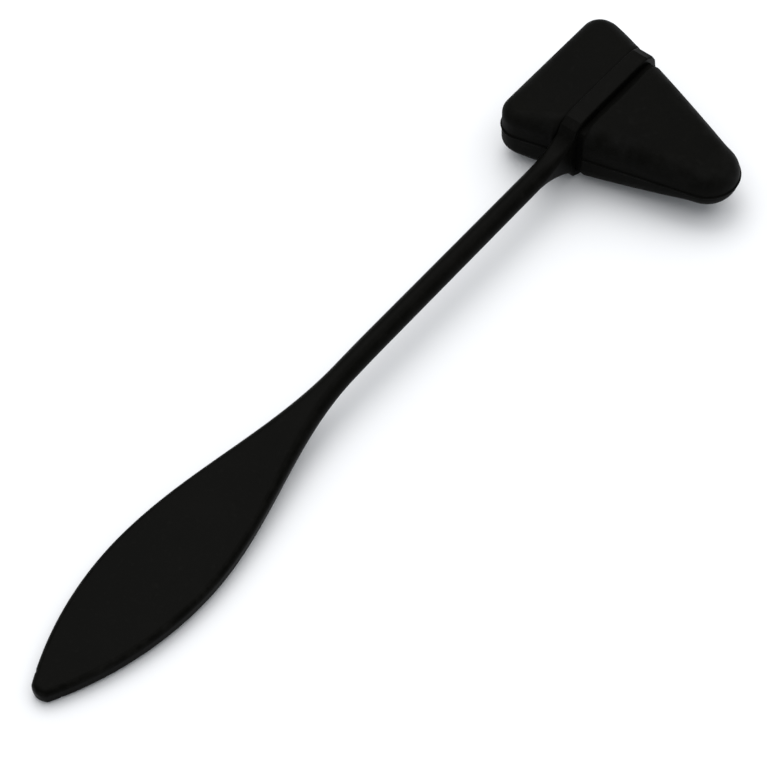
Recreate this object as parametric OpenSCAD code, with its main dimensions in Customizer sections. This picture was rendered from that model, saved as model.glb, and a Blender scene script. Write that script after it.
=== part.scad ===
// Reflex hammer with a triangular rubber head held in a closed metal loop.
// The handle is one piece of coated metal: a flat leaf-shaped grip, a slender round
// shank, a flared neck and the loop. The head is one piece of solid rubber that is
// pushed point first through the loop until the loop snaps into its groove.
// +X runs along the handle toward the head, +Y toward the wide base of the head and
// +Z up. The hammer lies on its side, so the table is at Z = 0. All sizes are in mm.

/* [Handle] */
// Distance from the tip of the grip to the middle of the loop
handle_reach = 175.4; // [150:0.1:210]
// Width of the grip at its widest place
grip_w = 21.9; // [16:0.1:30]
// Thickness of the grip
grip_t = 4; // [3:0.1:6]
// Distance from the tip to the widest place of the grip
grip_widest_at = 35; // [25:1:45]
// Radius of the long outline curve between the tip and the widest place
grip_curve_r = 70.3; // [66:0.1:110]
// Radius of the blunt end of the grip, seen from above
tip_r = 3.2; // [2.6:0.1:4]
// Distance from the tip to where the grip has become the round shank
grip_len = 90; // [75:1:100]
// Rounding of the long edges of the grip
grip_edge_r = 1.3; // [0.6:0.1:1.5]
// Diameter of the shank next to the grip
shank_d_grip = 4.8; // [4:0.1:6]
// Diameter of the shank next to the neck
shank_d_neck = 4.6; // [4:0.1:6]
// Height that the side view's gentle bend lifts the shank above the grip
bend_lift = 4.5; // [3:0.1:6]
// Rise of the grip and shank for each millimetre of length, before the bend is added
rise = 0.02; // [0:0.005:0.03]
// Distance from the tip to where the bend ends
bend_end = 100; // [90:1:120]

/* [Neck and loop] */
// Length of the neck, over which the shank flares into the near wall of the loop
neck_len = 11.8; // [9:0.1:16]
// How far the neck's flare runs in over the rounded near end of the loop
neck_bite = 1.4; // [1:0.1:1.5]
// Height of the neck where it meets the loop
neck_h = 15; // [10:0.5:16]
// Width of the neck where it meets the loop
neck_w = 3.8; // [2.8:0.1:4]
// Width of the band that the loop is made of
band_w = 4.1; // [4.1:0.1:6]
// Thickness of the band
band_t = 2.2; // [1.6:0.1:3]
// Length of the loop along the handle, outside
loop_len = 29.8; // [29:0.1:34]
// Height of the loop, outside
loop_h = 17; // [14:0.1:22]
// Length along the handle of the shallow bevel at each end of the loop's top and bottom
bevel_long = 2.7; // [1:0.1:3.5]
// Drop of that shallow bevel
bevel_drop = 0.3; // [0.2:0.05:0.6]
// Length along the handle of the steeper bevel outside the shallow one
corner_long = 2; // [1.2:0.1:2.2]
// Drop of that steeper bevel
corner_drop = 1.1; // [0.8:0.05:1.3]
// Length along the handle of the steep shoulder outside the two bevels
shoulder_long = 1.1; // [0.8:0.1:1.4]
// Drop of the shoulder
shoulder_drop = 2; // [1.6:0.1:2.4]
// How far the loop's end leans in between its middle and the shoulder
end_lean = 0.4; // [0.2:0.1:0.6]
// Height over which the loop's end leans in
end_lean_h = 2.6; // [1.5:0.1:3]
// Radius of the inside corners of the loop
loop_inner_r = 1.2; // [0.5:0.1:2]

/* [Rubber head] */
// Thickness of the head where the loop goes round it
head_t = 16; // [13:0.1:20]
// Thickness of the head at its two base corners
base_t = 12.4; // [9:0.1:16]
// Thickness of the head at its point
point_t = 9.6; // [7:0.1:14]
// Distance from the middle of the band to the base edge, parting line included
base_reach = 16.4; // [13:0.1:22]
// Distance from the middle of the band to the end of the point, parting line included
point_reach = 33.4; // [26:0.1:40]
// Width across the two base corners, parting line included
base_w = 36; // [32:0.1:44]
// Radius of the two base corners, seen from above
base_corner_r = 4.4; // [3.5:0.1:8]
// Radius of the point, seen from above
point_r = 6.9; // [5.5:0.1:9]
// Rounding of the edges round the base
base_edge_r = 2.8; // [1.5:0.1:3.5]
// Rounding of the long edges beside the band
side_edge_r = 4.6; // [3:0.1:4.6]
// Rounding of the edges round the point
point_edge_r = 4.4; // [2:0.1:5]
// Gap left in the groove on the point side of the band
groove_gap = 1.5; // [0:0.1:2]
// How far the moulded parting line stands out round the head
line_out = 0.3; // [0.1:0.05:0.4]
// Height of the parting line
line_h = 0.5; // [0.3:0.1:0.8]

/* [Hidden] */

// Corners of the head's outline: the centres of its rounded corners
base_corner_x = base_w / 2 - line_out - base_corner_r;
base_corner_y = base_reach - line_out - base_corner_r;
point_y = point_reach - line_out - point_r;
// Inside of the loop, which is also the floor of the head's groove
bore_len = loop_len - 2 * band_t;
bore_h = loop_h - 2 * band_t;
loop_mid_z = loop_h / 2;
// Distances from the tip to the start of the neck and to the loop's near wall
near_wall_at = handle_reach - loop_len / 2;
neck_at = near_wall_at + neck_bite - neck_len;
// The handle's body runs on until it is inside the near wall
body_end = near_wall_at + band_t - 0.3;
ring_points = 32;
end_round = 1.2;
end_half = 0.25;
// The box that holds the whole hammer, which puts the origin under its middle
box_mid_x = (base_w / 2 - handle_reach) / 2;
box_mid_y = (base_reach - point_reach) / 2;

// A number that goes smoothly from 0 to 1 as s goes from 0 to 1
function ease(s) = (1 - cos(180 * min(max(s, 0), 1))) / 2;

// Half width of the leaf outline on the tip side of its widest place
function leaf_arc(u) = grip_w / 2 - grip_curve_r
    + sqrt(pow(grip_curve_r, 2) - pow(grip_widest_at - u, 2));

// Half width of the round end at the tip
function tip_arc(u) = u < tip_r ? sqrt(pow(tip_r, 2) - pow(tip_r - u, 2)) : grip_w;

// Radius of the round shank at a distance u from the tip
function shank_r(u) = (shank_d_grip
    + (shank_d_neck - shank_d_grip) * min(max((u - grip_len) / (neck_at - grip_len), 0), 1)) / 2;

// Half width of the handle at a distance u from the tip
function half_w(u) =
    u < grip_widest_at ? max(end_half, min(tip_arc(u), leaf_arc(u))) :
    u < grip_len ? grip_w / 2 - (grip_w - shank_d_grip) / 2
        * ease((u - grip_widest_at) / (grip_len - grip_widest_at)) :
    shank_r(u) - (shank_r(u) - neck_w / 2) * ease((u - neck_at) / neck_len);

// How far the neck has opened, from 0 at the shank to 1 at the loop
function flare(u) = 1 - sqrt(1 - pow(min(max((u - neck_at) / neck_len, 0), 1), 2) * 0.98);

// Half thickness of the handle at a distance u from the tip
function half_t(u) =
    u < end_round ? max(end_half, grip_t / 2 * sqrt(1 - pow(1 - u / end_round, 2))) :
    u < grip_len ? grip_t / 2 + (shank_d_grip - grip_t) / 2
        * ease((u - grip_widest_at) / (grip_len - grip_widest_at)) :
    shank_r(u) + (neck_h / 2 - shank_r(u)) * flare(u);

// Corner rounding of the handle's section at a distance u from the tip
function section_r(u) = min(half_w(u), half_t(u),
    u < grip_len
        ? grip_edge_r + (shank_d_grip / 2 - grip_edge_r)
            * ease((u - grip_widest_at) / (grip_len - grip_widest_at))
        : shank_r(u) - (shank_r(u) - 0.6) * ease((u - neck_at) / neck_len));

// Height of the middle of the handle above the table
function mid_z(u) = let (
        free = grip_t / 2 + rise * min(u, neck_at)
            + bend_lift * ease((u - grip_widest_at) / (bend_end - grip_widest_at)),
        into_loop = ease((u - neck_at) / neck_len)
    ) free + (loop_mid_z - free) * into_loop;

// One ring of points round the handle at a distance u from the tip
function section(u) = let (
        a = half_w(u),
        b = half_t(u),
        r = section_r(u)
    ) [for (i = [0:ring_points - 1]) let (
        t = 360 * (i + 0.5) / ring_points,
        y = (a - r) * sign(cos(t)) + r * cos(t),
        z = (b - r) * sign(sin(t)) + r * sin(t)
    ) [u - handle_reach, y, mid_z(u) + z]];

// Distances from the tip at which the handle's section is drawn
stations = concat(
    [0, 0.1, 0.3, 0.6, 1.2, 2, 3, 4.5],
    [for (i = [2:18]) i * grip_widest_at / 10 * 0.98],
    [for (i = [1:19]) grip_widest_at * 1.764
        + i * (neck_at - grip_widest_at * 1.764) / 19],
    [for (s = [0.12, 0.25, 0.38, 0.5, 0.6, 0.7, 0.78, 0.85, 0.91, 0.96, 1])
        neck_at + s * neck_len],
    [body_end]);

// A closed skin through all the sections of the handle
module handle_body() {
    rings = len(stations);
    points = [for (u = stations) each section(u)];
    sides = [for (k = [0:rings - 2], i = [0:ring_points - 1]) let (
            j = (i + 1) % ring_points,
            a = k * ring_points,
            b = a + ring_points
        ) each [[a + i, b + j, a + j], [a + i, b + i, b + j]]];
    tip_end = [[for (i = [0:ring_points - 1]) i]];
    loop_end = [[for (i = [ring_points - 1:-1:0]) (rings - 1) * ring_points + i]];
    polyhedron(points, concat(sides, tip_end, loop_end));
}

// One corner of the loop's outer outline, from the middle of its end up to its flat top
loop_x = loop_len / 2;
loop_z = loop_h / 2;
loop_corner = [
    [loop_x, loop_z - bevel_drop - corner_drop - shoulder_drop - end_lean_h],
    [loop_x - end_lean, loop_z - bevel_drop - corner_drop - shoulder_drop],
    [loop_x - end_lean - shoulder_long, loop_z - bevel_drop - corner_drop],
    [loop_x - end_lean - shoulder_long - corner_long, loop_z - bevel_drop],
    [loop_x - end_lean - shoulder_long - corner_long - bevel_long, loop_z]
];

// The loop's outer outline: the same corner at both ends, top and bottom
module loop_outline() {
    steps = len(loop_corner) - 1;
    polygon(concat(
        loop_corner,
        [for (i = [steps:-1:0]) [-loop_corner[i][0], loop_corner[i][1]]],
        [for (i = [0:steps]) [-loop_corner[i][0], -loop_corner[i][1]]],
        [for (i = [steps:-1:0]) [loop_corner[i][0], -loop_corner[i][1]]]
    ));
}

// The opening of the loop: a rectangle with round corners
module bore_outline() {
    square([bore_len - 2 * loop_inner_r, bore_h], center = true);
    square([bore_len, bore_h - 2 * loop_inner_r], center = true);
    for (x = [-1, 1], z = [-1, 1])
        translate([x * (bore_len / 2 - loop_inner_r), z * (bore_h / 2 - loop_inner_r)])
            circle(r = loop_inner_r, $fn = 32);
}

// Stands a flat outline up in the XZ plane and makes it w wide along Y
module across(w) {
    translate([0, 0, loop_mid_z])
        rotate([90, 0, 0])
            linear_extrude(height = w, center = true)
                children();
}

// The loop as a flat band bent round the groove
module loop_band() {
    across(band_w)
        difference() {
            loop_outline();
            bore_outline();
        }
}

// A ring with a round outer edge, as wide as the rounding allows
module edge_ring(r, e) {
    rotate_extrude($fn = 40)
        intersection() {
            translate([r - e, 0])
                circle(r = e, $fn = 24);
            translate([0, -e])
                square([r, 2 * e]);
        }
}

// A round disc of radius r and thickness t with edges rounded by e
module soft_disc(r, t, e) {
    for (s = [-1, 1])
        translate([0, 0, s * (t / 2 - e)])
            edge_ring(r, e);
}

// Thickness of the head at a distance y from the band, crowned like a lens
function crown_t(y) = y > 0
    ? head_t - (head_t - base_t) * pow(y / base_corner_y, 1.5)
    : head_t - (head_t - point_t) * pow(-y / point_y, 1.4);

// Share of the way from the point to the base corners at a distance y from the band
function base_share(y) = (y + point_y) / (base_corner_y + point_y);

// Radius of the disc that fits the head's outline at a distance y from the band
function disc_r(y) = point_r + (base_corner_r - point_r) * base_share(y);

// The outer skin of the head without its groove
module head_block() {
    hull() {
        for (x = [-1, 1])
            translate([x * base_corner_x, base_corner_y, 0])
                soft_disc(base_corner_r, base_t, base_edge_r);
        translate([0, -point_y, 0])
            soft_disc(point_r, point_t, point_edge_r);
        for (f = [-0.75, -0.5, -0.25, 0, 0.4], x = [-1, 1])
            let (y = f < 0 ? f * point_y : f * base_corner_y)
                translate([x * base_corner_x * base_share(y), y, 0])
                    soft_disc(disc_r(y), crown_t(y), side_edge_r);
    }
}

// The thin rib that the mould leaves all round the head, halfway up
module parting_line() {
    linear_extrude(height = line_h, center = true)
        hull() {
            for (x = [-1, 1])
                translate([x * base_corner_x, base_corner_y])
                    circle(r = base_corner_r + line_out, $fn = 48);
            translate([0, -point_y])
                circle(r = point_r + line_out, $fn = 64);
        }
}

// The space that the loop takes up in the head, with a gap on the point side
module groove() {
    translate([0, -groove_gap / 2, 0])
        across(band_w + groove_gap)
            difference() {
                square([base_w * 2, head_t * 2], center = true);
                bore_outline();
            }
}

// Leaf grip, shank, neck and loop in one piece of coated metal
module handle() {
    color([0.13, 0.13, 0.13])
        union() {
            handle_body();
            loop_band();
        }
}

// Solid rubber head with the groove that the loop sits in
module rubber_head() {
    color([0.08, 0.08, 0.085])
        difference() {
            translate([0, 0, loop_mid_z]) {
                head_block();
                parting_line();
            }
            groove();
        }
}

translate([-box_mid_x, -box_mid_y, 0]) {
    handle();
    rubber_head();
}
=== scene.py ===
"""Looks for the reflex hammer: coated metal handle and solid rubber head, on a pale table."""
import math

import bmesh
import bpy
from mathutils import Matrix, Vector
from mathutils.kdtree import KDTree


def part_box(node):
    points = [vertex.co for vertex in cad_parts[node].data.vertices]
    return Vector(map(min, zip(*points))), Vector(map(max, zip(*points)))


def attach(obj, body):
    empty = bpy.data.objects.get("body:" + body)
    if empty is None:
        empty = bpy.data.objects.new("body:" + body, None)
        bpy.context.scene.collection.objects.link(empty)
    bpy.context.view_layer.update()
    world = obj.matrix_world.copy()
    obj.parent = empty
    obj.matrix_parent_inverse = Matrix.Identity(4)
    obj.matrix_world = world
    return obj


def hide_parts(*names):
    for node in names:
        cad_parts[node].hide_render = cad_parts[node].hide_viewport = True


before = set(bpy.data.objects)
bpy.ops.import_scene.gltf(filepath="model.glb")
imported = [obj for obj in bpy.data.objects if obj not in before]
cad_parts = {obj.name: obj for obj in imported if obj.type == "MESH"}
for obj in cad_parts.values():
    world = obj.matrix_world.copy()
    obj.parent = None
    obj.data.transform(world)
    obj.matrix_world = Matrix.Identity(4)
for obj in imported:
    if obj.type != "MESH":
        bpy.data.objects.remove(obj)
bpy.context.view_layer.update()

# ---------------------------------------------------------------- sizes, in millimetres
MM = 0.001
h_low, h_high = (Vector(c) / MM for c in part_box("handle"))
r_low, r_high = (Vector(c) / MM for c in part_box("rubber_head"))

AXIS_Y = (h_low.y + h_high.y) / 2          # the handle's own axis
BAND_X = (r_low.x + r_high.x) / 2          # middle of the loop and of the head
TIP_X = h_low.x                            # tip of the grip
REACH = BAND_X - TIP_X                     # tip to the middle of the loop
LOOP_LEN = 2 * (h_high.x - BAND_X)         # the loop from end to end, along the handle
LOOP_H = h_high.z
MID_Z = LOOP_H / 2                         # the parting line, and the middle of the loop

GRIP_W = h_high.y - h_low.y
GRIP_T = 4.0                               # thickness of the leaf-shaped grip
GRIP_WIDEST = 35.0                         # tip to the widest place of the grip
GRIP_CURVE_R = 70.3                        # outline of the grip between the tip and there
TIP_R = 3.2                                # blunt end of the grip, seen from above
GRIP_LEN = 90.0                            # tip to where the shank is round
GRIP_EDGE_R = 1.3                          # rounding of the grip's edges
GRIP_CROWN = 0.10                          # how much the grip's top swells in the middle
SHANK_D = (4.8, 4.6)                       # next to the grip, next to the neck
BEND_LIFT = 4.5                            # how far the bend above the grip lifts the shank
RISE = 0.02                                # steady rise of the handle, per length
BEND_END = 100.0                           # tip to the end of that bend

NECK_LEN = 11.8                            # length over which the shank flares to the loop
NECK_BITE = 1.4                            # how far the neck runs into the loop's wall
NECK_H = 15.0                              # height of the neck where it meets the loop
NECK_W = 4.02                              # a little less than the band, so no faces coincide
BAND_W = 4.1                               # width of the loop's flat bar
BAND_T = 2.2                               # and its thickness
# The loop's corner from its flat top outward: length along the handle and drop of each facet
BEVEL, CORNER, SHOULDER, END_LEAN = (2.7, 0.3), (2.0, 1.1), (1.1, 2.0), (0.4, 2.6)
# Rounding where the facets meet, from the middle of the end up to the flat top
FACET_R = [1.5, 1.2, 0.9, 0.5, 1.0]
LOOP_INNER_R = 1.2                         # corners of the loop's opening
BAND_EDGE_R = 0.38                         # rounding of the bar's outer edges
BAND_INNER_R = 0.15                        # the small chamfer along the band's inner edges
BAND_WEAR = 0.3                            # how far the band's edges are rubbed, next to the grip's

SHARP_ANGLE = math.radians(38)             # edges sharper than this stay crisp

HEAD_T = 16.0                              # thickness of the head at the band,
BASE_T = 12.4                              # at its base
POINT_T = 9.6                              # and at its point
BASE_Y = r_high.y - AXIS_Y                 # loop's middle to the base edge
POINT_Y = AXIS_Y - r_low.y                 # loop's middle to the end of the point
BASE_HALF = (r_high.x - r_low.x) / 2       # half the width of the base
BASE_R = 4.4                               # corners of the base, seen from above
POINT_R = 6.9                              # round end of the point, seen from above
BASE_EDGE_R = 2.8                          # rounding of the head's edges at the base,
SIDE_EDGE_R = 4.7                          # at the band
POINT_EDGE_R = 4.4                         # and at the point
GROOVE_GAP = 1.5                           # open groove on the point side of the band
GROOVE_FIT = 0.03                          # room between the band and the base side of the groove
FLOOR_FIT = 0.02                           # room between the groove's floor and the band
LIP_TOP, LIP_LOW = 1.1, 0.55               # how far each lip of the groove is rounded along the head
LIP_DEEP, LIP_FLAT = 0.8, 0.35             # the base side lip: its depth, and the share of it on top
LINE_OUT = 0.3                             # the mould's parting line: how far it stands out,
LINE_HALF = 0.26                           # and half its height

NEAR_WALL = REACH - LOOP_LEN / 2           # tip to the loop's wall next to the shank
NECK_AT = NEAR_WALL + NECK_BITE - NECK_LEN     # tip to the start of the neck
BORE = (LOOP_LEN / 2 - BAND_T, LOOP_H / 2 - BAND_T)   # half the loop's opening


def ease(s):
    """A smooth step from 0 to 1, held at its ends."""
    s = min(max(s, 0.0), 1.0)
    return (1 - math.cos(math.pi * s)) / 2


def spread(a, b, n):
    """n numbers from a to b, ends included."""
    return [a + (b - a) * i / (n - 1) for i in range(n)]


def spaced(values, gap):
    """Sorted values with anything closer than gap to its neighbour left out."""
    out = []
    for v in sorted(values):
        if not out or v - out[-1] > gap:
            out.append(v)
    return out


# ---------------------------------------------------------------- mesh helpers
def make_object(name, verts, faces, marks):
    """A smooth mesh object in metres from millimetre points. marks is one edge value per point."""
    bm = bmesh.new()
    layer = bm.verts.layers.float.new("edge")
    made = []
    for i, v in enumerate(verts):
        bv = bm.verts.new([c * MM for c in v])
        bv[layer] = marks[i]
        made.append(bv)
    for f in faces:
        ring = []
        for i in f:
            if made[i] not in ring:
                ring.append(made[i])
        if len(ring) > 2:
            bm.faces.new(ring)
    bmesh.ops.remove_doubles(bm, verts=bm.verts, dist=2e-6)
    bmesh.ops.dissolve_degenerate(bm, dist=1e-7, edges=bm.edges)
    bmesh.ops.recalc_face_normals(bm, faces=bm.faces)
    shade_smooth(bm)
    return link_mesh(name, bm)


def link_mesh(name, bm):
    """Turn a finished bmesh into a scene object."""
    mesh = bpy.data.meshes.new(name)
    bm.to_mesh(mesh)
    bm.free()
    obj = bpy.data.objects.new(name, mesh)
    bpy.context.scene.collection.objects.link(obj)
    return obj


def shade_smooth(bm):
    """Smooth shading everywhere but across edges sharper than SHARP_ANGLE."""
    for f in bm.faces:
        f.smooth = True
    for e in bm.edges:
        if len(e.link_faces) == 2 and e.calc_face_angle(0.0) > SHARP_ANGLE:
            e.smooth = False


def skin_rings(count, size, closed=False):
    """Quads between rings of size points each. closed joins the last ring to the first."""
    faces = []
    for k in range(count if closed else count - 1):
        for i in range(size):
            a, b = k * size, (k + 1) % count * size
            j = (i + 1) % size
            faces.append((a + i, a + j, b + j, b + i))
    return faces


def weight_normals(obj):
    """Even shading over faces of very different sizes."""
    mod = obj.modifiers.new("even shading", "WEIGHTED_NORMAL")
    mod.keep_sharp = True
    mod.weight = 60


# ---------------------------------------------------------------- handle body
def half_w(u):
    """Half width of the handle at a distance u from its tip."""
    if u < GRIP_WIDEST:
        arc = GRIP_W / 2 - GRIP_CURVE_R + math.sqrt(GRIP_CURVE_R ** 2 - (GRIP_WIDEST - u) ** 2)
        tip = math.sqrt(TIP_R ** 2 - (TIP_R - u) ** 2) if u < TIP_R else GRIP_W
        return max(0.02, min(arc, tip))
    if u < GRIP_LEN:
        s = ease((u - GRIP_WIDEST) / (GRIP_LEN - GRIP_WIDEST))
        return GRIP_W / 2 - (GRIP_W - SHANK_D[0]) / 2 * s
    r = shank_r(u)
    return r - (r - NECK_W / 2) * ease((u - NECK_AT) / NECK_LEN)


def shank_r(u):
    """Radius of the shank at u."""
    s = min(max((u - GRIP_LEN) / (NECK_AT - GRIP_LEN), 0), 1)
    return (SHANK_D[0] + (SHANK_D[1] - SHANK_D[0]) * s) / 2


def flare(u):
    """Share of the way from the shank to the full height of the neck at u."""
    s = min(max((u - NECK_AT) / NECK_LEN, 0), 1)
    return 1 - math.sqrt(1 - 0.98 * s * s)


def half_t(u):
    """Half thickness of the handle at u."""
    if u < GRIP_EDGE_R:
        return max(0.02, GRIP_T / 2 - GRIP_EDGE_R + math.sqrt(GRIP_EDGE_R ** 2 - (GRIP_EDGE_R - u) ** 2))
    if u < GRIP_LEN:
        s = ease((u - GRIP_WIDEST) / (GRIP_LEN - GRIP_WIDEST))
        return GRIP_T / 2 + (SHANK_D[0] - GRIP_T) / 2 * s
    return shank_r(u) + (NECK_H / 2 - shank_r(u)) * flare(u)


def section_r(u):
    """Corner radius of the handle's section at u."""
    if u < GRIP_LEN:
        s = ease((u - GRIP_WIDEST) / (GRIP_LEN - GRIP_WIDEST))
        r = GRIP_EDGE_R + (SHANK_D[0] / 2 - GRIP_EDGE_R) * s
    else:
        r = shank_r(u) - (shank_r(u) - 0.6) * ease((u - NECK_AT) / NECK_LEN)
    return min(half_w(u), half_t(u), r)


def mid_z(u):
    """Height of the middle of the handle's section above the table at u."""
    free = (GRIP_T / 2 + RISE * min(u, NECK_AT)
            + BEND_LIFT * ease((u - GRIP_WIDEST) / (BEND_END - GRIP_WIDEST)))
    return free + (MID_Z - free) * ease((u - NECK_AT) / NECK_LEN)


def rounded_section(a, b, r, turn=9, flat=8):
    """Points round a rectangle of half sizes a and b with corners of radius r, and how much each
    lies on a corner."""
    out = []
    for sx, sy, start in ((1, 1, 0), (-1, 1, 90), (-1, -1, 180), (1, -1, 270)):
        for i in range(turn + 1):
            t = math.radians(start + 90 * i / turn)
            out.append((sx * (a - r) + r * math.cos(t), sy * (b - r) + r * math.sin(t),
                        math.sin(math.pi * i / turn)))
        # along the flat to the next corner
        last = out[-1]
        nx, ny = {0: (-(a - r), b), 90: (-a, -(b - r)), 180: (a - r, -b), 270: (a, b - r)}[start]
        for i in range(1, flat):
            s = i / flat
            out.append((last[0] + (nx - last[0]) * s, last[1] + (ny - last[1]) * s, 0.0))
    return out


def build_handle_body():
    """Grip, shank and neck: one loft of rounded sections along the handle."""
    us = [TIP_R * (1 - math.cos(math.radians(a))) for a in range(0, 91, 5)]
    us += spread(TIP_R, NECK_AT, 230)
    us += [NECK_AT + NECK_LEN * s for s in spread(0.0, 0.7, 18)]
    us += [NECK_AT + NECK_LEN * math.sin(math.radians(a)) for a in range(46, 91, 2)]
    us = spaced(us + [0.004], 0.003)
    us.append(NEAR_WALL + BAND_T - 0.3)        # ends inside the loop's near wall
    verts, marks = [], []
    for u in us:
        a, b, r, z0 = half_w(u), half_t(u), section_r(u), mid_z(u)
        grip = 1 - ease((u - GRIP_WIDEST) / (GRIP_LEN - GRIP_WIDEST))
        for y, z, m in rounded_section(a, b, r):
            crown = 0.0
            if z > b - 0.02:
                side = max(0.0, 1 - (y / max(a, 0.01)) ** 2)
                crown = GRIP_CROWN * grip * side * min(1.0, u / 10)
            verts.append((TIP_X + u, AXIS_Y + y, z0 + z + crown))
            marks.append(m * (0.35 + 0.65 * grip))
    n = len(verts) // len(us)
    faces = skin_rings(len(us), n)
    faces.append(tuple(range(n)))
    faces.append(tuple(range(len(verts) - n, len(verts))))
    return make_object("handle_body", verts, faces, marks)


# ---------------------------------------------------------------- loop
def rounded_path(points, radii, turn=5, step=0.5):
    """A closed path through points with each corner rounded, with points no further apart than step."""
    out = []
    count = len(points)
    for i in range(count):
        p = Vector(points[i])
        a = Vector(points[i - 1]) - p
        b = Vector(points[(i + 1) % count]) - p
        shortest = min(a.length, b.length)
        a.normalize()
        b.normalize()
        half = a.angle(b) / 2
        # the rounding never takes up more than 0.45 of the shorter side
        reach = min(min(radii[i], 0.49 * shortest) / math.tan(half), 0.45 * shortest)
        r = reach * math.tan(half)
        centre = p + (a + b).normalized() * (r / math.sin(half))
        start, end = p + a * reach - centre, p + b * reach - centre
        total = start.angle(end)
        for k in range(turn + 1):
            s = k / turn
            v = (start * math.sin((1 - s) * total) + end * math.sin(s * total)) / math.sin(total)
            out.append(centre + v)
    dense = []
    for i, p in enumerate(out):
        q = out[(i + 1) % len(out)]
        parts = max(1, math.ceil((q - p).length / step))
        for k in range(parts):
            dense.append(p + (q - p) * (k / parts))
    return dense


def on_path(path, direction):
    """Where a line from the middle in this direction meets a closed path."""
    best = None
    for i, p in enumerate(path):
        q = path[(i + 1) % len(path)]
        e = q - p
        det = direction.x * e.y - direction.y * e.x
        if abs(det) < 1e-12:
            continue
        t = (p.x * e.y - p.y * e.x) / det
        s = (p.x * direction.y - p.y * direction.x) / det
        if t > 0 and -1e-6 <= s <= 1 + 1e-6 and (best is None or t < best):
            best = t
    return direction * best


def path_normals(path):
    """Outward directions at the points of a closed path round the middle."""
    out = []
    for i, p in enumerate(path):
        t = path[(i + 1) % len(path)] - path[i - 1]
        n = Vector((t.y, -t.x)).normalized()
        out.append(n if n.dot(p) > 0 else -n)
    return out


def build_loop():
    """The loop: one section of the band carried round its outline."""
    x, z = LOOP_LEN / 2, LOOP_H / 2 - sum(f[1] for f in (BEVEL, CORNER, SHOULDER, END_LEAN))
    quarter = [(x, z)]
    for long, drop in (END_LEAN, SHOULDER, CORNER, BEVEL):
        x, z = x - long, z + drop
        quarter.append((x, z))
    outline = (quarter + [(-x, z) for x, z in reversed(quarter)]
               + [(-x, -z) for x, z in quarter] + [(x, -z) for x, z in reversed(quarter)])
    outer = rounded_path(outline, 2 * (FACET_R + FACET_R[::-1]))
    outs = path_normals(outer)
    bx, bz = BORE
    inner = rounded_path([(bx, bz), (-bx, bz), (-bx, -bz), (bx, -bz)], [LOOP_INNER_R] * 4)
    hw, re = BAND_W / 2, BAND_EDGE_R
    steps = 6
    verts, marks = [], []
    for o, n in zip(outer, outs):
        i = on_path(inner, o.normalized())
        out = (o - i).normalized() * BAND_INNER_R
        section = [(i + out, -hw, 0.0), (i, -hw + BAND_INNER_R, 0.0),
                   (i, hw - BAND_INNER_R, 0.0), (i + out, hw, 0.0)]
        arc = []
        for k in range(steps + 1):
            t = math.radians(90 * k / steps)
            arc.append((o - n * re * (1 - math.sin(t)), hw - re * (1 - math.cos(t)),
                        BAND_WEAR * math.sin(math.pi * k / steps)))
        section += arc + [(o, hw * s, 0.0) for s in (0.5, 0.0, -0.5)]
        section += [(p, -y, m) for p, y, m in reversed(arc)]
        for p, y, m in section:
            verts.append((BAND_X + p.x, AXIS_Y + y, MID_Z + p.y))
            marks.append(m)
    faces = skin_rings(len(outer), len(verts) // len(outer), closed=True)
    return make_object("loop_part", verts, faces, marks)


def edge_marks(obj):
    """Every point of an object with its edge value."""
    values = obj.data.attributes["edge"].data
    return [(v.co.copy(), values[v.index].value) for v in obj.data.vertices]


def build_handle():
    """The handle: body and loop joined into one mesh."""
    body, loop = build_handle_body(), build_loop()
    marks = edge_marks(body) + edge_marks(loop)
    tree = KDTree(len(marks))
    for i, (co, _) in enumerate(marks):
        tree.insert(co, i)
    tree.balance()
    mod = body.modifiers.new("join", "BOOLEAN")
    mod.operation = "UNION"
    mod.solver = "EXACT"
    mod.object = loop
    graph = bpy.context.evaluated_depsgraph_get()
    mesh = bpy.data.meshes.new_from_object(body.evaluated_get(graph))
    bpy.data.objects.remove(loop)
    bpy.data.objects.remove(body)
    bm = bmesh.new()
    bm.from_mesh(mesh)
    # the union mixes up the edge values, so each point takes its own back from the nearest old point
    layer = bm.verts.layers.float["edge"]
    for v in bm.verts:
        v[layer] = marks[tree.find(v.co)[1]][1]
    shade_smooth(bm)
    obj = link_mesh("handle_skin", bm)
    bpy.data.meshes.remove(mesh)
    weight_normals(obj)
    return obj


# ---------------------------------------------------------------- rubber head
base_cx, base_cy = BASE_HALF - LINE_OUT - BASE_R, BASE_Y - LINE_OUT - BASE_R
point_cy = -(POINT_Y - LINE_OUT - POINT_R)
span = math.hypot(base_cx, base_cy - point_cy)
lean = (POINT_R - BASE_R) / span
along = Vector((base_cx, base_cy - point_cy)) / span
side_n = Vector((along.y, -along.x)) * math.sqrt(1 - lean ** 2) + along * lean
side_k = side_n.x * base_cx + side_n.y * base_cy + BASE_R


def outline_x(y, d):
    """Half width of the head's outline, drawn in by d, at a distance y from the band, and the
    outline's outward direction there."""
    rb, rp = BASE_R - d, POINT_R - d
    if y > base_cy + rb * side_n.y:
        x = math.sqrt(max(rb * rb - (y - base_cy) ** 2, 0.0))
        return base_cx + x, Vector((x, y - base_cy)).normalized() if rb > 1e-6 else side_n
    if y < point_cy + rp * side_n.y:
        x = math.sqrt(max(rp * rp - (y - point_cy) ** 2, 0.0))
        return x, Vector((x, y - point_cy)).normalized()
    return (side_k - d - side_n.y * y) / side_n.x, side_n


def edge_round(y):
    """Radius of the head's edge rounding at y."""
    if y > 0:
        return SIDE_EDGE_R + (BASE_EDGE_R - SIDE_EDGE_R) * ease(y / base_cy)
    return SIDE_EDGE_R + (POINT_EDGE_R - SIDE_EDGE_R) * ease(y / point_cy)


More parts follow.
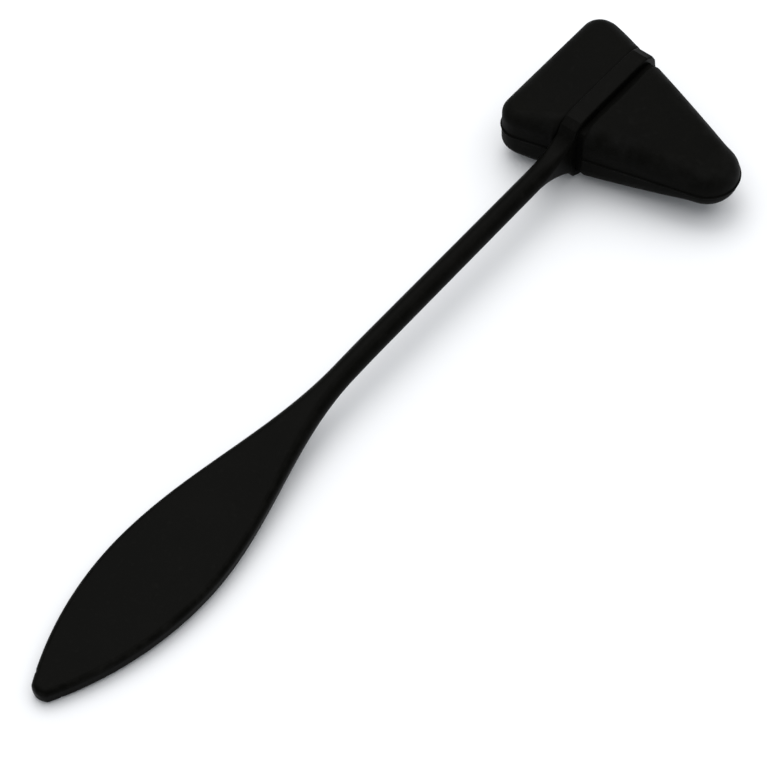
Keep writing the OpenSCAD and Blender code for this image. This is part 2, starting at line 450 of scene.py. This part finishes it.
def half_thick(y):
    """Half thickness of the head at y, crowned at the band."""
    if y > 0:
        s = min(y / base_cy, 1.0)
        return (HEAD_T - (HEAD_T - BASE_T) * s ** 1.5) / 2
    s = min(-y / -point_cy, 1.0)
    return (HEAD_T - (HEAD_T - POINT_T) * s ** 1.4) / 2


SIDE_Z = (0.0, 0.5 * LINE_HALF, 0.8 * LINE_HALF, 0.95 * LINE_HALF, LINE_HALF, LINE_HALF + 0.1)
SIDE_N, ROUND_N, TOP_N = 5, 12, 14


def line_lift(z):
    """How far the parting line stands out at a height z from the middle."""
    return LINE_OUT * math.sqrt(max(0.0, 1 - (z / LINE_HALF) ** 2))


def head_quarter(y):
    """Points of one quarter of the head's section at y, from the middle of the side over the edge
    to the middle of the top: (x, z, out x, out y, edge)."""
    e = edge_round(y)
    h = half_thick(y)
    room = min(BASE_R - (y - base_cy), POINT_R - (point_cy - y))
    top = math.pi / 2 if room >= e else math.acos(min(max(1 - max(room, 0.0) / e, -1.0), 1.0))
    x0, out = outline_x(y, 0.0)
    wall = max(h - e, SIDE_Z[-1] + 0.02)
    pts = []
    for z in list(SIDE_Z) + spread(SIDE_Z[-1], wall, SIDE_N + 1)[1:]:
        lift = line_lift(z)
        pts.append((x0, z, out.x * lift, out.y * lift, lift / LINE_OUT))
    for i in range(1, ROUND_N + 1):
        a = top * i / ROUND_N
        x, _ = outline_x(y, e * (1 - math.cos(a)))
        pts.append((x, wall + (h - wall) * math.sin(a), 0.0, 0.0, math.sin(2 * a)))
    x_in, z_in = pts[-1][0], pts[-1][1]
    flat_mark = math.sin(2 * top) if top < math.pi / 2 - 0.01 else 0.0
    for i in range(1, TOP_N + 1):
        pts.append((x_in * (1 - i / TOP_N), z_in, 0.0, 0.0, flat_mark))
    return pts


def floor_quarter():
    """The same points on the floor of the groove."""
    bx, bz = BORE[0] - FLOOR_FIT, BORE[1] - FLOOR_FIT
    r = LOOP_INNER_R
    pts = []
    for z in list(SIDE_Z) + spread(SIDE_Z[-1], bz - r, SIDE_N + 1)[1:]:
        pts.append((bx, z))
    for i in range(1, ROUND_N + 1):
        a = math.pi / 2 * i / ROUND_N
        pts.append((bx - r + r * math.cos(a), bz - r + r * math.sin(a)))
    for i in range(1, TOP_N + 1):
        pts.append(((bx - r) * (1 - i / TOP_N), bz))
    return pts


def whole_ring(quarter):
    """Four mirrored quarters as one closed ring. Each point is (x, z, out x, out y, edge)."""
    q1 = quarter
    q2 = [(-x, z, -ox, oy, m) for x, z, ox, oy, m in reversed(quarter[:-1])]
    q3 = [(-x, -z, -ox, oy, m) for x, z, ox, oy, m in quarter[1:]]
    q4 = [(x, -z, ox, oy, m) for x, z, ox, oy, m in reversed(quarter[1:-1])]
    return q1 + q2 + q3 + q4


def build_head():
    """The rubber head: sections from the point to the base, sunk into the groove at the band."""
    groove_top = BAND_W / 2 + GROOVE_FIT
    groove_low = -BAND_W / 2 - GROOVE_GAP
    plain = [base_cy + BASE_R * math.sin(math.radians(a)) for a in range(0, 91, 4)]
    plain += [base_cy + BASE_R - BASE_EDGE_R * (1 - math.cos(math.radians(a))) for a in range(0, 91, 6)]
    plain += spread(groove_top + LIP_TOP, base_cy, 26)
    plain += spread(point_cy, groove_low - LIP_LOW, 60)
    plain += [point_cy - POINT_R * math.sin(math.radians(a)) for a in range(0, 88, 3)]
    plain += [point_cy - POINT_R + 0.004]
    plain = spaced(plain, 0.01)
    plain[-1] = base_cy + BASE_R               # the last ring is exactly where the flat base face starts
    low = [y for y in plain if y <= groove_low - LIP_LOW + 1e-6]
    high = [y for y in plain if y >= groove_top + LIP_TOP - 1e-6]
    floor = floor_quarter()
    rings = [(y, whole_ring(head_quarter(y))) for y in low]

    def sunk(y_from, y_at, share, deep, flat):
        """The section of y_from placed at y_at and drawn toward the groove's floor: share of the
        way into a lip that is deep at the sides and flat times that on top. share None is the floor."""
        q = []
        for (x, z, ox, oy, m), (fx, fz) in zip(head_quarter(y_from), floor):
            p, v = Vector((x, z)), Vector((fx - x, fz - z))
            way = v.normalized()
            if share is None:
                p = Vector((fx, fz))
            else:
                depth = deep * (flat + (1 - flat) * abs(way.x))
                p += way * min(share * depth, v.length - 0.02)
            left = 1 - share if share is not None and share < 1 else 0.0
            q.append((p.x, p.y, ox * left, oy * left, 0.35 * left))
        return y_at, whole_ring(q)

    for k in range(1, 8):
        t = math.radians(90 * k / 7)
        rings.append(sunk(groove_low - LIP_LOW, groove_low - LIP_LOW * (1 - math.sin(t)),
                          1 - math.cos(t), LIP_LOW, 1.0))
    rings.append(sunk(groove_low, groove_low + 0.02, None, 0, 0))
    rings.append(sunk(groove_low, -BAND_W / 2, None, 0, 0))
    rings.append(sunk(groove_top, groove_top - 0.02, None, 0, 0))
    for k in range(8, 0, -1):
        t = math.radians(90 * k / 8)
        rings.append(sunk(groove_top + LIP_TOP, groove_top + LIP_TOP * (1 - math.sin(t)),
                          1 - math.cos(t), LIP_DEEP * LIP_TOP, LIP_FLAT))
    rings += [(y, whole_ring(head_quarter(y))) for y in high]

    verts, marks = [], []
    for y, ring in rings:
        for x, z, ox, oy, m in ring:
            verts.append((BAND_X + x + ox, AXIS_Y + y + oy, MID_Z + z))
            marks.append(m)
    n = len(rings[0][1])
    faces = skin_rings(len(rings), n)
    faces.append(tuple(range(n)))
    # the base face is a grid, so the parting line runs across it too
    y_end = high[-1]
    quarter = head_quarter(y_end)
    side_count = len(SIDE_Z) + SIDE_N
    heights = [p[1] for p in quarter[:side_count]]
    xs = [p[0] for p in quarter[side_count + ROUND_N - 1:]]
    cols = xs + [-x for x in reversed(xs[:-1])]
    rows = [-z for z in reversed(heights[1:])] + heights
    start = len(verts)
    for z in rows:
        lift = line_lift(z)
        for x in cols:
            verts.append((BAND_X + x, AXIS_Y + y_end + lift, MID_Z + z))
            marks.append(lift / LINE_OUT)
    w = len(cols)
    for row in range(len(rows) - 1):
        for col in range(w - 1):
            a = start + row * w + col
            faces.append((a, a + 1, a + w + 1, a + w))
    obj = make_object("rubber_skin", verts, faces, marks)
    weight_normals(obj)
    return obj


# ---------------------------------------------------------------- materials
def new_material(name):
    """A node material with its nodes, its links and its main shader."""
    mat = bpy.data.materials.new(name)
    mat.use_nodes = True
    nodes, links = mat.node_tree.nodes, mat.node_tree.links
    return mat, nodes, links, nodes["Principled BSDF"]


def noise(nodes, links, coord, scale, detail, rough, w):
    """A noise value at this scale, with w choosing which noise."""
    n = nodes.new("ShaderNodeTexNoise")
    n.noise_dimensions = "4D"
    n.inputs["W"].default_value = w
    n.inputs["Scale"].default_value = scale
    n.inputs["Detail"].default_value = detail
    n.inputs["Roughness"].default_value = rough
    links.new(coord.outputs["Object"], n.inputs["Vector"])
    return n.outputs["Fac"]


def ramp(nodes, links, source, low, high, a=0.0, b=1.0):
    """source, taken from low..high to a..b."""
    m = nodes.new("ShaderNodeMapRange")
    m.inputs["From Min"].default_value = low
    m.inputs["From Max"].default_value = high
    m.inputs["To Min"].default_value = a
    m.inputs["To Max"].default_value = b
    links.new(source, m.inputs["Value"])
    return m.outputs["Result"]


def calc(nodes, links, op, a, b):
    """One step of arithmetic on two sockets or numbers."""
    m = nodes.new("ShaderNodeMath")
    m.operation = op
    for i, v in enumerate((a, b)):
        if isinstance(v, (int, float)):
            m.inputs[i].default_value = v
        else:
            links.new(v, m.inputs[i])
    return m.outputs["Value"]


def mix_colour(nodes, links, fac, a, b):
    """Colour a where fac is 0 and colour b where it is 1."""
    m = nodes.new("ShaderNodeMix")
    m.data_type = "RGBA"
    links.new(fac, m.inputs["Factor"])
    for socket, v in ((m.inputs[6], a), (m.inputs[7], b)):
        if isinstance(v, tuple):
            socket.default_value = (*v, 1.0)
        else:
            links.new(v, socket)
    return m.outputs[2]


def bump(nodes, links, height, distance, strength, normal=None):
    """Surface relief from a height value, on top of normal."""
    b = nodes.new("ShaderNodeBump")
    b.inputs["Distance"].default_value = distance
    b.inputs["Strength"].default_value = strength
    links.new(height, b.inputs["Height"])
    if normal is not None:
        links.new(normal, b.inputs["Normal"])
    return b.outputs["Normal"]


def edge_value(nodes):
    """The edge value that the meshes carry: 1 where hands and use rub most; on the rubber it also places
    a painted edge highlight.
    """
    a = nodes.new("ShaderNodeAttribute")
    a.attribute_name = "edge"
    return a.outputs["Fac"]


def coating():
    """Satin black coating on metal: fine orange peel, a little rubbed along the edges."""
    mat, nodes, links, bsdf = new_material("black_coating")
    coord = nodes.new("ShaderNodeTexCoord")
    broad = noise(nodes, links, coord, 45.0, 5.0, 0.6, 1.3)
    fine = noise(nodes, links, coord, 900.0, 3.0, 0.6, 4.1)
    peel = noise(nodes, links, coord, 1500.0, 2.0, 0.5, 7.7)
    rub = noise(nodes, links, coord, 260.0, 5.0, 0.65, 2.9)
    wear = calc(nodes, links, "MULTIPLY", edge_value(nodes), ramp(nodes, links, rub, 0.46, 0.66))
    tone = mix_colour(nodes, links, ramp(nodes, links, broad, 0.35, 0.65),
                      (0.0020, 0.0020, 0.0016), (0.0032, 0.0031, 0.0026))
    tone = mix_colour(nodes, links, ramp(nodes, links, fine, 0.55, 0.8, 0.0, 0.5), tone,
                      (0.0066, 0.0064, 0.0056))
    tone = mix_colour(nodes, links, ramp(nodes, links, wear, 0.0, 1.0, 0.0, 0.45), tone,
                      (0.0115, 0.011, 0.010))
    links.new(tone, bsdf.inputs["Base Color"])
    rough = calc(nodes, links, "ADD", ramp(nodes, links, broad, 0.3, 0.7, 0.30, 0.37),
                 ramp(nodes, links, fine, 0.3, 0.7, -0.03, 0.03))
    rough = calc(nodes, links, "SUBTRACT", rough, calc(nodes, links, "MULTIPLY", wear, 0.08))
    links.new(rough, bsdf.inputs["Roughness"])
    bsdf.inputs["Specular IOR Level"].default_value = 0.020
    n = bump(nodes, links, peel, 0.00004, 0.35)
    n = bump(nodes, links, broad, 0.00025, 0.15, n)
    links.new(n, bsdf.inputs["Normal"])
    return mat


def rubber():
    """Dull black moulded rubber: fine grain, faint bloom, edges lightened partly by scuffing from
    handling and partly by a painted edge highlight.
    """
    mat, nodes, links, bsdf = new_material("black_rubber")
    coord = nodes.new("ShaderNodeTexCoord")
    broad = noise(nodes, links, coord, 70.0, 6.0, 0.6, 3.3)
    grain = noise(nodes, links, coord, 1300.0, 3.0, 0.65, 5.2)
    specks = noise(nodes, links, coord, 480.0, 2.0, 0.5, 8.6)
    scuff_and_highlight = noise(nodes, links, coord, 190.0, 5.0, 0.65, 6.4)
    # mask along the edges for scuffs and for the painted edge highlight
    wear = calc(nodes, links, "MULTIPLY", edge_value(nodes), ramp(nodes, links, scuff_and_highlight, 0.42, 0.68))
    tone = mix_colour(nodes, links, ramp(nodes, links, broad, 0.35, 0.66),
                      (0.0016, 0.0016, 0.0012), (0.0028, 0.0027, 0.0021))
    tone = mix_colour(nodes, links, ramp(nodes, links, specks, 0.60, 0.80, 0.0, 0.5), tone,
                      (0.0055, 0.0053, 0.0046))
    # edges lighter: partly scuffing, partly a painted edge highlight
    tone = mix_colour(nodes, links, ramp(nodes, links, wear, 0.0, 1.0, 0.0, 0.5), tone,
                      (0.0085, 0.0085, 0.008))
    links.new(tone, bsdf.inputs["Base Color"])
    rough = calc(nodes, links, "ADD", ramp(nodes, links, broad, 0.3, 0.7, 0.52, 0.64),
                 ramp(nodes, links, grain, 0.3, 0.7, -0.04, 0.04))
    rough = calc(nodes, links, "SUBTRACT", rough, calc(nodes, links, "MULTIPLY", wear, 0.12))
    links.new(rough, bsdf.inputs["Roughness"])
    bsdf.inputs["Specular IOR Level"].default_value = 0.030
    n = bump(nodes, links, grain, 0.00006, 0.4)
    n = bump(nodes, links, broad, 0.0004, 0.15, n)
    links.new(n, bsdf.inputs["Normal"])
    return mat


# ---------------------------------------------------------------- pieces
handle_skin = build_handle()
handle_skin.data.materials.append(coating())
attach(handle_skin, "root")
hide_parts("handle")

rubber_skin = build_head()
rubber_skin.data.materials.append(rubber())
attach(rubber_skin, "root")
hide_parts("rubber_head")

# ---------------------------------------------------------------- table, light and camera
FLOOR_HALF = 3.0


def build_floor():
    """A plain pale table top."""
    bm = bmesh.new()
    corners = [bm.verts.new((sx * FLOOR_HALF, sy * FLOOR_HALF, 0.0))
               for sx, sy in ((-1, -1), (1, -1), (1, 1), (-1, 1))]
    bm.faces.new(corners)
    obj = link_mesh("table_top", bm)
    mat, _, _, bsdf = new_material("white_table")
    bsdf.inputs["Base Color"].default_value = (0.88, 0.885, 0.90, 1.0)
    bsdf.inputs["Roughness"].default_value = 0.9
    bsdf.inputs["Specular IOR Level"].default_value = 0.1
    obj.data.materials.append(mat)


def soft_light(name, position, target, size, power):
    """A round soft light facing target."""
    data = bpy.data.lights.new(name, "AREA")
    data.shape = "DISK"
    data.size = size
    data.energy = power
    data.color = (1.0, 0.995, 0.985)
    obj = bpy.data.objects.new(name, data)
    obj.location = position
    obj.rotation_euler = (Vector(target) - Vector(position)).to_track_quat("-Z", "Y").to_euler()
    bpy.context.scene.collection.objects.link(obj)


build_floor()

world = bpy.data.worlds.new("studio")
world.use_nodes = True
world.node_tree.nodes["Background"].inputs["Color"].default_value = (0.93, 0.965, 1.0, 1.0)
world.node_tree.nodes["Background"].inputs["Strength"].default_value = 0.50
bpy.context.scene.world = world
bpy.context.scene.view_settings.view_transform = "Standard"

# The camera looks along the handle toward the head, from in front and above
AIM_YAW = math.radians(40.90)
AIM_DOWN = math.radians(54.81)
AIM_ROLL = math.radians(-1.74)
DISTANCE = 601.1
AIM_AT = Vector((0.0, 4.24, 0.0))
SENSOR = 36.0
LENS = 140.37

forward = Vector((math.cos(AIM_YAW) * math.cos(AIM_DOWN), math.sin(AIM_YAW) * math.cos(AIM_DOWN),
                  -math.sin(AIM_DOWN)))
level = Vector((math.sin(AIM_YAW), -math.cos(AIM_YAW), 0.0))
upward = level.cross(forward)
right = level * math.cos(AIM_ROLL) + upward * math.sin(AIM_ROLL)
up = upward * math.cos(AIM_ROLL) - level * math.sin(AIM_ROLL)

cam_data = bpy.data.cameras.new("camera")
cam_data.sensor_width = SENSOR
cam_data.lens = LENS
cam_data.clip_start = 0.01
cam_data.clip_end = 20.0
camera = bpy.data.objects.new("camera", cam_data)
turn = Matrix((right, up, -forward)).transposed().to_4x4()
camera.matrix_world = Matrix.Translation((AIM_AT - forward * DISTANCE) * MM) @ turn
bpy.context.scene.collection.objects.link(camera)
bpy.context.scene.camera = camera

# A soft box overhead on the far side of the hammer, and a broad tent of light above it
soft_light("soft_box", (0.36, 0.44, 1.24), (0.0, 0.0, 0.0), 0.9, 3.3)
soft_light("tent", (0.30, 0.20, 1.3), (0.0, 0.0, 0.0), 2.8, 23.0)

bpy.context.view_layer.update()
